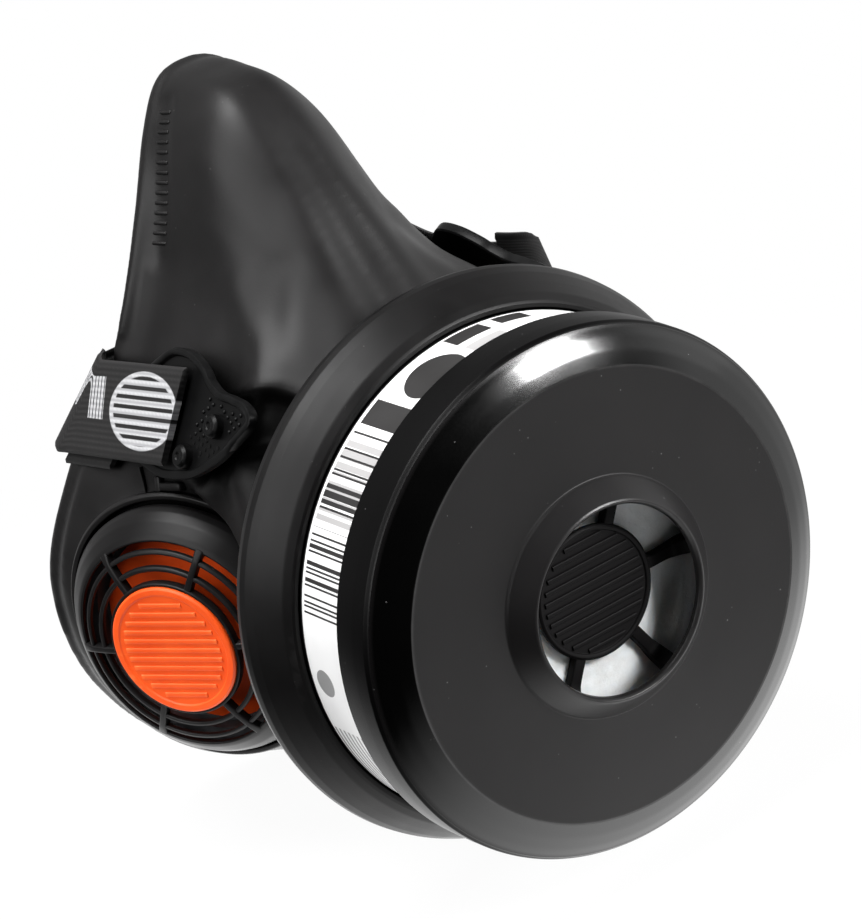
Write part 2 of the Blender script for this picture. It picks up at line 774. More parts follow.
# ------------------------------------------------------------------ face piece surface
# Rings from the sealing rim forward to the filter mount. Each has eleven (x, y, z) points
# from the top centre round the right side to the bottom centre.
FRONT_RING_RADIUS, FRONT_RING_Y = 44.5, 4
RINGS = np.array([
    [[0, 73, 102.5], [7.5, 72.5, 100.5], [15, 70, 92], [23.4, 67, 78], [32, 67, 61],
     [39.6, 70.5, 45], [51.3, 79, 25], [60, 86.5, 0], [57, 87, -27], [37, 87, -52], [0, 84, -62]],
    [[0, 60, 102], [7, 60, 100.5], [14.3, 59, 92], [20.3, 58, 78], [26.8, 58, 62],
     [35, 61, 46], [48, 66, 25], [56, 69, -1], [53, 73, -28], [35, 75, -51.5], [0, 73, -61.5]],
    [[0, 44, 98], [7, 44, 96.8], [13.8, 44, 88.5], [18.5, 43.5, 76.5], [23.5, 43, 62],
     [33, 44, 47], [43, 44, 25], [48, 46, -3], [44, 48, -28], [28, 53, -48.5], [0, 54, -57.5]],
    [[0, 29, 80.5], [6.5, 29, 79], [12.5, 29.5, 72.5], [17.5, 29, 64], [24.4, 29, 54],
     [34, 28.5, 41], [42, 28, 23], [43, 27, -3], [39, 30, -26], [24, 34, -43], [0, 36, -51]],
    [[0, 16, 60.5], [8, 16, 59.5], [15, 16.5, 55], [23, 17, 50.5], [33, 17.5, 44],
     [41.5, 17, 32], [44.5, 16, 16], [44, 16, -3], [42, 18, -22], [27, 19, -37], [0, 20, -44]],
    [[FRONT_RING_RADIUS * math.sin(math.radians(angle)), FRONT_RING_Y,
      FRONT_RING_RADIUS * math.cos(math.radians(angle))]
     for angle in (0, 12, 26, 42, 60, 78, 96, 114, 134, 156, 180)]], float)
COLUMN_STEPS, ROW_STEPS = 14, 18  # between ring points, and between rings

# (x, y, z) lines on the right half: a ledge over a hollow, the swell below the hollow,
# two soft lines on the flank, and the middle of the sunk panel beside the nose
LEDGE = [[25.4, 11.5, 44.2], [26.4, 13.9, 45.3], [27.5, 15.6, 46.4], [29, 17.5, 47.1],
         [30.7, 19.6, 47.2], [31.7, 23.4, 46], [31.9, 28, 44.3], [35, 34, 41], [38.5, 40, 37]]
SWELL = [[34.8, 10.5, 34.7], [36.7, 13, 35.5], [38.8, 15.6, 35.6], [39, 24.9, 32.7],
         [40.2, 30.9, 29.2], [41.5, 34.6, 26.1], [43, 40, 25]]
RAISED_LINE = [[20.5, 35.5, 62.5], [22.1, 32.8, 58.9], [23.6, 30.1, 55.5], [25.6, 26.3, 52.5],
               [27.5, 22.5, 49.5]]
LOWERED_LINE = [[14.5, 27, 66], [17, 25.8, 62.5], [22, 23.5, 55.9], [28.1, 20.8, 49.9]]
PANEL = [[10.2, 64.2, 96.5], [12.8, 62.9, 93.0], [15.2, 61.9, 89.2], [17.5, 61.1, 84.5],
         [19.6, 60.4, 79.3], [22.1, 60.1, 73.6], [24.3, 60, 67.9]]
WALL = 2.6
LIP_WIDTH = 9


def skin_grid():
    """Rings splined round and along, with the left half mirrored from the right."""
    rows = []
    for ring in RINGS:
        q = np.concatenate([[ring[1] * MIRROR], ring, [ring[9] * MIRROR]])
        rows.append([catmull_rom(*q[i:i + 4], k / COLUMN_STEPS)
                     for i in range(10) for k in range(COLUMN_STEPS)] + [ring[10]])
    rows = np.array(rows)
    q = np.concatenate([[2 * rows[0] - rows[1]], rows, [2 * rows[5] - rows[4]]])
    half = np.array([catmull_rom(*q[j:j + 4], k / ROW_STEPS)
                     for j in range(5) for k in range(ROW_STEPS)] + [rows[5]])
    return np.concatenate([half, half[:, -2:0:-1] * MIRROR], 1)


def grid_normals(grid):
    before, after = np.concatenate([grid[:1], grid[:-1]]), np.concatenate([grid[1:], grid[-1:]])
    normals = np.cross(after - before, np.roll(grid, -1, 1) - np.roll(grid, 1, 1))
    return normals / np.linalg.norm(normals, axis=2, keepdims=True)


def on_right(points):
    """The same points folded over to the right half."""
    return np.abs(points) * [1, 1, 0] + points * [0, 0, 1]


def distance_to(line, points):
    line = np.asarray(line, float)
    best = np.full(points.shape[:-1], 1e9)
    for start, stop in zip(line[:-1], line[1:]):
        d = stop - start
        t = np.clip(((points - start) @ d) / (d @ d), 0, 1)
        best = np.minimum(best, np.linalg.norm(points - (start + t[..., None] * d), axis=-1))
    return best


def at_same_y(line, points):
    """Point of a line, given at rising y, for each point's own y."""
    q = np.asarray(line, float)
    return np.stack([np.interp(points[..., 1], q[:, 1], q[:, i]) for i in range(3)], -1)


def broad_shift(grid, folded, depth):
    """Large swells and hollows, in mm along the normal."""
    y, z = grid[..., 1], grid[..., 2]
    # hollow behind the mount, under a crisp ledge, with a full round cheek below it
    down = unit([8, 2, -14])
    ledge, swell = at_same_y(LEDGE, folded), at_same_y(SWELL, folded)
    below = np.einsum("ijk,k->ij", folded - ledge, down)
    drop = np.einsum("ijk,k->ij", swell - ledge, down)
    ends = (rise(y, start=6.5, over=4) * fall(y, end=42, over=8)
            * (folded[..., 0] > 18) * (z > 5))
    shift = -3.8 * rise(below, start=0, over=1.5) * fall(below, end=drop, over=4.5) * ends
    shift += 0.25 * bell(below, width=1.2, centre=-0.6) * ends
    shift += 0.9 * bell(below - drop, width=4.5, centre=4.0) * ends
    # the sealing rim rolls over along the cheeks and chin
    cheeks = fall(z, end=38, over=16) * rise(folded[..., 0], start=22, over=14)
    shift += cheeks * (0.5 - 0.9 * np.clip(1 - depth / 2.5, 0, 1) ** 1.5
                       + 1.2 * rise(depth, start=4.2, over=2.2)
                       * (1 - rise(depth, start=12, over=14)))
    return shift


def fine_shift(grid, folded, depth):
    """Small relief, in mm along the normal; folded holds the places before the broad shift."""
    x, y, z = grid[..., 0], grid[..., 1], grid[..., 2]
    # shallow channel down the front of the nose between two broad soft ridges
    front = fall(y, end=46, over=20) * rise(y, start=3, over=6) * (z > 20)
    shift = -0.9 * front * bell(x, width=3.6)
    shift += 0.15 * front * bell(np.abs(x), width=4.5, centre=8.5)
    # the flank runs out into the mount without a crease
    shift += (1.0 * bell(distance_to(RAISED_LINE, folded), width=4.5)
              - 0.8 * bell(distance_to(LOWERED_LINE, folded), width=4.0))
    # rolled bead along the sealing rim, with a groove in front of it
    shift += 0.55 * bell(depth, width=1.1, centre=1.6)
    shift -= 0.30 * bell(depth, width=1.0, centre=4.0)
    # narrow sunk panel on each side of the nose
    shift -= 0.75 * (1 - rise(distance_to(PANEL, on_right(grid)), start=2.1, over=0.9))
    return shift


def face_surfaces():
    """Base, outer and inner point grids, and the base normals."""
    grid = skin_grid()
    normals = grid_normals(grid)
    rows, cols = grid.shape[:2]
    steps = np.linalg.norm(np.diff(grid, axis=0), axis=2)
    depth = np.concatenate([[np.zeros(cols)], np.cumsum(steps, 0)])  # mm from the rim
    folded = on_right(grid)
    grid = grid + normals * broad_shift(grid, folded, depth)[..., None]
    normals = grid_normals(grid)
    outer = grid + normals * fine_shift(grid, folded, depth)[..., None]
    # thin at the rim, full from four thirds of the way between the first rings
    thirds = np.arange(rows) / ROW_STEPS * 3
    wall = WALL * (0.62 + 0.38 * np.minimum(1, thirds / 4))
    inner = grid - normals * wall[:, None, None]
    inner[-1, :, 1] = grid[-1, :, 1]
    return grid, outer, inner, normals


BASE, OUTER, INNER, NORMALS = face_surfaces()


def lip_rows(end_offset, offset):
    """Rows of the lip that turns inwards from the rim, from its free edge outwards."""
    rim = BASE[0]
    inward = np.stack([-rim[:, 0], np.zeros(len(rim)), 12 - rim[:, 2]], 1)
    inward /= np.linalg.norm(inward, axis=1, keepdims=True)
    # narrow at the nose, full width round the chin
    width = np.minimum(LIP_WIDTH, 0.42 * np.abs(rim[:, 0]) + 2.5)[:, None]
    width = width + (LIP_WIDTH - width) * fall(rim[:, 2], end=20, over=40)[:, None]
    rows = []
    for k in (1, 0.9, 0.8, 0.7, 0.6, 0.5, 0.4, 0.3, 0.2, 0.1):
        lowered = end_offset if k == 1 else offset
        curl = 3.2 * math.sin(math.radians(150 * k)) - 2.2 * k - lowered
        rows.append(rim + inward * width * k + [0, curl, 0])
    return rows


def face_shell():
    """Closed wall between the outer and inner skins."""
    outer = np.concatenate([lip_rows(end_offset=0.25, offset=0.0), OUTER])
    inner = np.concatenate([lip_rows(end_offset=1.05, offset=1.45), INNER])
    rows, cols = outer.shape[:2]
    base = rows * cols
    faces = []
    for j in range(rows - 1):
        here, ahead = j * cols, (j + 1) * cols
        for i in range(cols):
            k = (i + 1) % cols
            faces.append((here + i, here + k, ahead + k, ahead + i))
            faces.append((base + here + i, base + ahead + i, base + ahead + k, base + here + k))
    last = (rows - 1) * cols
    for i in range(cols):
        k = (i + 1) % cols
        faces.append((i, base + i, base + k, k))
        faces.append((last + i, last + k, base + last + k, base + last + i))
    return np.concatenate([outer.reshape(-1, 3), inner.reshape(-1, 3)]), faces


def face_core():
    """Solid bounded by the middle of the wall, closed at the rim and at the mount."""
    middle = (BASE + INNER) / 2
    rows, cols = middle.shape[:2]
    verts = np.concatenate([middle.reshape(-1, 3), [[0, 74, 14], [0, 4.6, 0]]])
    faces = []
    for j in range(rows - 1):
        for i in range(cols):
            k = (i + 1) % cols
            faces.append((j * cols + i, j * cols + k, (j + 1) * cols + k, (j + 1) * cols + i))
    centre = rows * cols
    for i in range(cols):
        k = (i + 1) % cols
        faces.append((k, i, centre))
        faces.append(((rows - 1) * cols + i, (rows - 1) * cols + k, centre + 1))
    return verts, faces


# ------------------------------------------------------------------ face piece
# (radius, height) about the valve axis
VALVE_BLOCK = [[25, -18.4], [36.4, -18.4], [36.4, 9], [25, 9]]
VALVE_POCKET = [[0, -12.2], [33.8, -12.2], [33.8, 22], [0, 22]]
VALVE_BORE = [[0, -30], [27, -30], [27, -6], [0, -6]]
VALVE_SEAT = [[26, -19, 0.6], [31.0, -19, 0.6], [31.0, -12.3, 0.5], [26, -12.3, 0.6]]
# x, y and z ranges in the flank frame
YOKE_BLOCK = (-31, 29), (-3.3, 4.7), (-11, 33)
YOKE_POCKET = (-29, 31), (-0.3, 23.7), (-10, 32)


def build_face():
    material = MATERIALS["soft"]
    face = build("face_shell", face_shell(), material, weld=0)
    # thicken the wall inwards behind each valve and yoke
    for side, _ in SIDES:
        for block in (lathe(VALVE_BLOCK, at_valve(side), segments=128),
                      box(*YOKE_BLOCK, at_flank(side))):
            backing = build("backing", face_core(), weld=0)
            combine(backing, block, "INTERSECT")
            boolean(face, backing, "UNION")
            remove(backing)
    for side, _ in SIDES:
        place = at_valve(side)
        for pocket in (lathe(VALVE_POCKET, place, segments=128),
                       lathe(VALVE_BORE, place, segments=128),
                       box(*YOKE_POCKET, at_flank(side))):
            combine(face, pocket, "DIFFERENCE")
        combine(face, lathe(rounded(VALVE_SEAT), place, segments=128), "UNION")
    # remesh and relax, so that every joint reads as one moulding
    remesh = face.modifiers.new("r", "REMESH")
    remesh.mode = "VOXEL"
    remesh.voxel_size = 0.00075
    remesh.use_smooth_shade = True
    relax = face.modifiers.new("s", "CORRECTIVE_SMOOTH")
    relax.factor = 0.6
    relax.iterations = 6
    relax.use_only_smooth = True
    apply_modifiers(face)
    face.data.shade_smooth()
    face.data.materials.clear()
    face.data.materials.append(material)
    attach(face, "face", "face_piece")


VALVE_LIP = [  # radius, height, corner radius
    [30.35, -18.5], [30.2, -13.0, 0.3], [30.15, -11.5, 0.6], [30.7, -10.75, 0.45],
    [31.6, -10.75, 0.45], [32.15, -11.5, 0.6], [31.75, -12.6, 0.5], [31.4, -14, 0.6],
    [31.3, -18.5]]


def build_valve_lips():
    """Rolled lip round each valve."""
    for side, word in SIDES:
        ring = lathe(rounded(VALVE_LIP), at_valve(side), segments=160)
        lip = build("valve_lip_" + word, ring, MATERIALS["soft"], sharp_angle=50)
        attach(lip, "face", "face_piece", replaces=False)


PANEL_RIB_START, PANEL_RIB_END_GAP, PANEL_RIB_PITCH = 1.6, 1.0, 2.15
PANEL_RIB_LEVELS = [(0.1, -0.8), (0.0, -0.6), (0.0, 0.22), (0.12, 0.4), (0.3, 0.48)]
# blocks above each valve: centre, long direction, half length, half width, height
SKIN_BLOCKS = (
    ([-43.2, 45.0, 25.7], [1.8, -8.6, 1.0], 3.9, 0.95, 1.3),
    ([-43.9, 49.0, 25.4], [-0.6, -0.3, -1.0], 1.9, 0.9, 1.3),
    ([-45.1, 54.3, 25.4], [-1.2, -2.1, -4.5], 3.2, 0.32, 0.8))


def nearest_skin(point):
    distance = np.linalg.norm(OUTER - np.asarray(point, float), axis=2)
    i, j = np.unravel_index(np.argmin(distance), distance.shape)
    return OUTER[i, j], NORMALS[i, j]


def skin_block(outline, levels, centre, along, normal):
    """Small block on the skin: local x near along, local z on the normal."""
    ez = unit(normal)
    ex = unit(np.asarray(along, float) - np.dot(along, ez) * ez)
    ey = np.cross(ez, ex)
    return prism(outline, levels,
                 lambda q: centre + q[:, [0]] * ex + q[:, [1]] * ey + q[:, [2]] * ez)


def build_face_details():
    """Ribs in the sunk panels, and small blocks above each valve, on both sides."""
    parts = []
    outline = rounded_box(2.0, 0.42, radius=0.3, steps=3)
    line = spline(np.array(PANEL) * MIRROR, 8)
    travel = run_length(line)
    for d in np.arange(PANEL_RIB_START, travel[-1] - PANEL_RIB_END_GAP, PANEL_RIB_PITCH):
        point = np.array([np.interp(d, travel, line[:, i]) for i in range(3)])
        skin, normal = nearest_skin(point)
        centre = point + normal * np.dot(skin - point, normal)
        parts.append(skin_block(outline, PANEL_RIB_LEVELS, centre, [0.18, -0.98, 0.04], normal))
    for point, along, half_x, half_y, top in SKIN_BLOCKS:
        skin, normal = nearest_skin(point)
        outline = rounded_box(half_x, half_y, radius=min(half_x, half_y) * 0.8, steps=5)
        levels = [(0.0, -1.6), (0.0, top * 0.6), (0.12 * half_y, top * 0.88), (0.4 * half_y, top)]
        parts.append(skin_block(outline, levels, skin, along, normal))
    pairs = [half for part in parts for half in (part, mirrored(part))]
    details = build("face_moulded_details", join(pairs), MATERIALS["soft"], sharp_angle=45)
    attach(details, "face", "face_piece", replaces=False)


# ------------------------------------------------------------------ filter mount and cap
CAP_RADIUS = 55.6
# radius, height towards the front, corner radius
MOUNT_PROFILE = [
    [33, -4, 0.3], [44.4, -4, 1.5], [50, -3.6, 6], [56, -2.2, 8], [59.6, 0, 4], [60.9, 1.6, 1.5],
    [61.2, 3.2, 1.2], [61.0, 4.7, 1.6], [60.1, 6.7, 3], [58.5, 9.2, 6], [56.6, 12, 4],
    [55.25, 13.3, 0.8], [54.7, 13.62, 0.4], [53.8, 13.62, 0.4], [53.36, 13.2, 0.3],
    [53.35, 0, 0.2], [33, 0, 0.2]]
CAP_PROFILE = [
    # side and bevel
    [CAP_RADIUS, 30.5, 0.3], [CAP_RADIUS - 0.1, 36, 8], [CAP_RADIUS - 0.25, 39.8, 0.8],
    [CAP_RADIUS - 0.95, 40.75, 0.5], [CAP_RADIUS - 2.9, 41.85, 14], [CAP_RADIUS - 5.6, 43.08, 14],
    # front face and collar
    [CAP_RADIUS - 8.55, 44.1, 0.35], [CAP_RADIUS - 9.3, 44.05, 0.3], [42, 44.02], [36, 44.0],
    [30, 44.0], [25.1, 44, 0.5], [24.6, 44.6, 0.5], [20.95, 48.25, 0.4], [20.4, 48.6, 0.35],
    [19.8, 47.9, 0.35], [19.6, 46.9, 0.4], [20.3, 46.3, 0.4],
    # inside
    [24.6, 42.5, 1.2], [46, 42.4, 3], [CAP_RADIUS - 4.9, 41.4, 2], [CAP_RADIUS - 2.4, 39.6, 1],
    [CAP_RADIUS - 1.6, 38.4, 0.8], [CAP_RADIUS - 1.6, 33, 0.2], [CAP_RADIUS - 2, 32.2, 0.2],
    [CAP_RADIUS - 2, 31.2, 0.2], [CAP_RADIUS - 1.6, 30.5, 0.2]]
CAP_DISC = [[0, 38.2], [13.4, 38.2, 0.3], [14.1, 38.7, 0.3], [14.1, 39.5, 0.35],
            [13.5, 39.9, 0.3], [12.9, 39.7, 0.2], [12.7, 39.35, 0.2], [0, 39.35]]
# top height of a spoke at shares of its length
CAP_SPOKE_SHARES, CAP_SPOKE_TOPS = [0, 0.45, 0.62, 0.80, 1], [39.5, 39.5, 40.2, 42.0, 42.7]


def build_mount():
    ring = lathe(rounded(MOUNT_PROFILE, 6), at_filter, segments=256)
    mount = build("filter_mount_ring", ring, MATERIALS["mount"], sharp_angle=50)
    attach(mount, "face", "filter_mount")


def build_cap():
    """Cap shell, and a ribbed centre disc carried on six spokes."""
    parts = [lathe(rounded(CAP_PROFILE, 6), at_filter, segments=320),
             lathe(rounded(CAP_DISC, 4), at_filter, segments=160)]
    section = ridge(foot=0.55, base=39.2, crest=0.5, top=39.75, radius=0.3)
    parts += rib_field(pitch=2.25, reach=12.2, section=section, floor=39.0, place=at_filter)
    tops = np.interp(np.linspace(0, 1, 25), CAP_SPOKE_SHARES, CAP_SPOKE_TOPS)
    spoke = np.array([
        [[x, q[0] * (1 + 0.25 * rise(x, start=17.5, over=6)), q[1]]
         for q in ridge(foot=1.45, base=37.7, crest=1.3, top=top, radius=0.35)]
        for x, top in zip(np.linspace(12.8, 27.5, 25), tops)])
    parts += six_spokes(spoke, floor=37.65, place=at_filter)
    cap = build("prefilter_cap_shell", join(parts), MATERIALS["cap"], sharp_angle=40)
    attach(cap, "cap", "prefilter_cap")


SLEEVE_REAR = 13.9
SLEEVE_PROFILE = ((53.22, SLEEVE_REAR), (53.34, 13.95), (53.34, 30.25), (53.22, 30.3))
SLEEVE_SEAM = -120  # degrees from the top


def build_sleeve():
    """Printed sleeve round the filter, cut at a seam so that the print runs on."""
    segments = 360
    verts, uvs, faces = [], [], []
    for i in range(segments + 1):
        degrees = 360 * i / segments + SLEEVE_SEAM
        angle = math.radians(degrees)
        for radius, forward in SLEEVE_PROFILE:
            verts.append([-radius * math.sin(angle), -forward, radius * math.cos(angle)])
            uvs.append([degrees, forward - SLEEVE_REAR])
    for i in range(segments):
        for j in range(4):
            k = (j + 1) % 4
            faces.append((i * 4 + j, i * 4 + k, (i + 1) * 4 + k, (i + 1) * 4 + j))
    sleeve = build("filter_sleeve", (verts, faces), MATERIALS["label"], uv=uvs,
                   sharp_angle=50, weld=0)
    attach(sleeve, "filter", "filter_label")


PAD_RADIUS, PAD_BACK, PAD_FRONT = 49.2, 34.72, 37.35


def build_pad():
    """Felt disc with a soft quilted front."""
    rows, cols = 60, 160
    radius, angle = np.meshgrid(np.linspace(0.0, PAD_RADIUS, rows),
                                np.linspace(0, 2 * np.pi, cols, endpoint=False), indexing="ij")
    quilt = (0.16 * np.sin(radius * 0.9 + 2.1 * np.sin(3 * angle))
             * np.sin(5 * angle + radius * 0.21) + 0.10 * np.sin(radius * 2.3 + 7 * angle))
    height = PAD_FRONT + quilt - 1.2 * rise(radius, start=47.4, over=1.8)
    top = np.stack([radius * np.cos(angle), radius * np.sin(angle), height], -1)
    bottom = top.copy()
    bottom[..., 2] = PAD_BACK
    verts = np.concatenate([at_filter(top).reshape(-1, 3), at_filter(bottom).reshape(-1, 3)])
    faces = []
    base = rows * cols
    for i in range(rows - 1):
        here, ahead = i * cols, (i + 1) * cols
        for j in range(cols):
            k = (j + 1) % cols
            quad = (here + j, here + k, ahead + k, ahead + j)
            faces += [quad, tuple(base + n for n in reversed(quad))]
    last = (rows - 1) * cols
    for j in range(cols):
        k = (j + 1) % cols
        faces.append((last + j, last + k, base + last + k, base + last + j))
    pad = build("prefilter_felt_pad", (verts, faces), MATERIALS["felt"])
    attach(pad, "cap", "prefilter_pad")


# ------------------------------------------------------------------ exhalation valves
# radius, height outwards, corner radius
COVER_DOME = [
    [29.6, -10.9, 0.3], [29.8, -9.4, 1.0], [29.2, -8, 3], [28, -6.2, 5], [25.8, -4, 4],
    [24.4, -3.1, 0.4], [24.2, -4.4, 0.4], [25, -5.1, 1], [27.2, -7.4, 2], [28.2, -9.3, 0.2],
    [28.2, -9.55], [29.0, -9.55], [29.0, -10.9]]
COVER_OUTER_HOOP = [[21.8, -3.6, 0.3], [22.85, -3.8, 0.3], [22.85, -2.6, 0.45], [21.8, -2.1, 0.45]]
COVER_INNER_HOOP = [[18.2, -2.9, 0.3], [19.3, -3.0, 0.3], [19.3, -1.6, 0.45], [18.2, -1.3, 0.45]]
COVER_DISC = [[0, -2.8], [15.8, -2.8, 0.3], [15.8, -0.75, 0.3], [15.1, -0.7, 0.2],
              [15.1, -1.3, 0.1], [0, -1.3]]
COVER_SPOKE_CURVE = [[15.5, -0.95], [19, -1.45], [22.7, -2.35], [25.1, -3.5]]
BADGE_PROFILE = [[0, -1.28], [15.0, -1.28, 0.1], [15.0, -0.35, 0.3], [14.6, 0, 0.3],
                 [13.4, 0, 0.3], [13.1, -0.3, 0.25], [0, -0.3]]


def build_valve_cover(side, word):
    """Open grille: dome edge, two hoops and a centre disc on six spokes."""
    place = at_valve(side)
    parts = [lathe(rounded(COVER_DOME, 6), place, segments=192),
             lathe(rounded(COVER_OUTER_HOOP), place, segments=160),
             lathe(rounded(COVER_INNER_HOOP), place, segments=144),
             lathe(rounded(COVER_DISC, 4), place, segments=128)]
    curve = spline(COVER_SPOKE_CURVE, 6)
    section = ridge(foot=0.85, base=-1.7, crest=0.75, top=0.12, radius=0.4)
    spoke = np.array([[[x, q[0] * (1 + 0.35 * rise(x, start=22, over=3)), height + q[1]]
                       for q in section] for x, height in curve])
    parts += six_spokes(spoke, floor=(curve[:, 1] - 1.8)[:, None], place=place, first=2)
    cover = build("valve_cover_shell_" + word, join(parts), MATERIALS["grille"], sharp_angle=40)
    attach(cover, "cover_" + word, "valve_cover_" + word)


def build_badge(side, word):
    """Shallow dished disc with a raised rim and parallel ribs."""
    place = at_valve(side)
    section = ridge(foot=0.62, base=-0.45, crest=0.5, top=-0.04, radius=0.3)
    parts = [lathe(rounded(BADGE_PROFILE), place, segments=160)]
    parts += rib_field(pitch=2.15, reach=12.0, section=section, floor=-0.6, place=place)
    badge = build("valve_badge_disc_" + word, join(parts), MATERIALS["badge"], sharp_angle=40)
    attach(badge, "cover_" + word, "valve_badge_" + word)


# ------------------------------------------------------------------ yokes
# outline in the flank plane: x back, y down the flank
YOKE_TOP = [[15.5, 13], [13.6, 8], [10.4, 2.8], [4.6, -0.8], [-1.6, -1.9], [-5.4, -1.5],
            [-9.8, -2.1], [-14.1, -4.3], [-18.6, -6.2], [-22.1, -6.3], [-23.8, -4.3]]
YOKE_BOTTOM = [[-22.6, 0.6], [-20.4, 7.2], [-17.4, 13], [-14, 17.8], [-10, 21.5], [-5.2, 25.2],
               [0, 27.5], [6, 29.4], [12, 30], [15, 26], [15.9, 19]]
YOKE_EDGE = spline(YOKE_TOP + YOKE_BOTTOM, 8, closed=True)
YOKE_LEVELS = [(0.35, 0.0), (0.0, 0.35), (0.0, 1.95), (0.12, 2.25), (0.45, 2.4), (1.15, 2.4),
               (1.5, 2.25), (1.75, 1.75), (1.85, 1.55)]
RECESS_HEIGHT = YOKE_LEVELS[-1][1]
RIVETS = ((-14, 4), (-9.5, 16))
RIVET_PROFILE = [[0, 1.0], [2.6, 1.0], [2.6, 3.1, 0.5], [1.9, 3.75, 0.4], [1.0, 3.75, 0.3],
                 [0.7, 3.45, 0.2], [0, 3.45]]
STUD_PROFILE = [[0, 0.42], [0.26, 0.36], [0.44, 0.18], [0.5, 0.0], [0.5, -0.3], [0, -0.3]]
STUD_PITCH_X, STUD_PITCH_Y = 1.75, 1.7
STUD_MARGIN = 2.8
RIVET_CLEAR_SQUARED = 14


def on_yoke(side):
    """Local z outward from the flank."""
    flank = at_flank(side)
    return lambda points: flank(np.asarray(points, float)[..., [0, 2, 1]])


def on_low_yoke(side):
    """As on_yoke, with the raised rim pressed down along the lower edge."""
    place = on_yoke(side)

    def lowered(points):
        points = np.array(points, float)
        low = smooth((points[..., 1] - 0.55 * (points[..., 0] + 24)) / 4)
        points[..., 2] -= 0.9 * low * np.clip(points[..., 2] - 1.65, 0, 1.2)
        return place(points)
    return lowered


def inside_outline(outline, x, y):
    inside = False
    for a, b in zip(outline, np.roll(outline, -1, 0)):
        if (a[1] > y) != (b[1] > y) and x < (b[0] - a[0]) * (y - a[1]) / (b[1] - a[1]) + a[0]:
            inside = not inside
    return inside


def takes_stud(x, y):
    """True clear of the rim, of the plain area towards the back and of the rivets."""
    if not inside_outline(YOKE_EDGE, x, y):
        return False
    if np.linalg.norm(YOKE_EDGE - [x, y], axis=1).min() < STUD_MARGIN:
        return False
    if x > -7.5 and y > 1.0:
        return False
    return all((x - rx) ** 2 + (y - ry) ** 2 >= RIVET_CLEAR_SQUARED for rx, ry in RIVETS)


def build_yoke(side, word):
    """Plate with a recessed face full of small round studs in staggered rows."""
    place = on_low_yoke(side)
    parts = [prism(YOKE_EDGE, YOKE_LEVELS, place)]
    stud, stud_faces = lathe(STUD_PROFILE, as_is, segments=8)
    for i in range(-12, 9):
        for j in range(-3, 16):
            x = i * STUD_PITCH_X + (STUD_PITCH_X / 2 if j % 2 else 0)
            y = j * STUD_PITCH_Y
            if takes_stud(x, y):
                parts.append((place(stud + [x, y, RECESS_HEIGHT]), stud_faces))
    yoke = build("yoke_plate_" + word, join(parts), MATERIALS["yoke"], sharp_angle=40)
    attach(yoke, "face", "yoke_" + word)


def build_rivets():
    parts = []
    rivet, faces = lathe(rounded(RIVET_PROFILE, 4), as_is, segments=48)
    for side, _ in SIDES:
        place = on_yoke(side)
        parts += [(place(rivet + [x, y, 0]), faces) for x, y in RIVETS]
    rivets = build("yoke_rivets", join(parts), MATERIALS["yoke"], sharp_angle=40)
    attach(rivets, "face", "yoke_studs")


# ------------------------------------------------------------------ strap
STRAP_WIDTH, STRAP_THICK = 26, 1.6
STRAP_TOP = 2.6 + STRAP_THICK  # outward from the flank
TURN_RADIUS, TURN_START = 4.4, 29.2
TURN_SLANT = 0.7366  # drift down the flank for each millimetre back
TURN_ANGLES = (90, 71, 52, 33, 14)
FLANK_SPREAD = 0.909  # share of the width direction that lies in the y-z plane
LEFT_DOWN = FLANK_DOWN * MIRROR
# (x, y, z) of the free end, from the right-hand turn down and forward into a loop
TAIL = ([43.4, 62.5, 46.6], [46.2, 55, 44.6], [49.2, 47, 44.2], [51.2, 39.5, 45],
        [51.3, 32.8, 46.4], [49.3, 28.4, 48], [46.2, 27.4, 49.2], [43.4, 29.6, 49.8],
        [41.6, 33.5, 50])


def on_flank(back, out):
    return FLANK_ORIGIN + back * STRAP_RUN + out * FLANK_OUT


def on_turn(degrees):
    angle = math.radians(degrees)
    return (FLANK_ORIGIN + (TURN_START + TURN_RADIUS * math.cos(angle)) * FLANK_BACK
            + (STRAP_TOP - TURN_RADIUS + TURN_RADIUS * math.sin(angle)) * FLANK_OUT
            + TURN_START * TURN_SLANT * FLANK_DOWN)


def strap_stations():
    """(edge point, width direction) from the left flank, across behind, to the right loop."""
    _, cross_y, cross_z = on_turn(TURN_ANGLES[-1])
    stations = [(on_flank(back, STRAP_TOP) * MIRROR, LEFT_DOWN) for back in (-4.5, 8, 20, 32)]
    stations += [(on_turn(angle) * MIRROR, LEFT_DOWN) for angle in TURN_ANGLES]
    stations += [(np.array([x, cross_y, cross_z]),
                  np.array([FLANK_DOWN[0] * x / 40, FLANK_DOWN[1], FLANK_DOWN[2]]))
                 for x in (-24, 0, 24)]
    stations += [(on_turn(angle), FLANK_DOWN) for angle in reversed(TURN_ANGLES)]
    stations += [(np.array(point), FLANK_DOWN) for point in TAIL]
    return stations


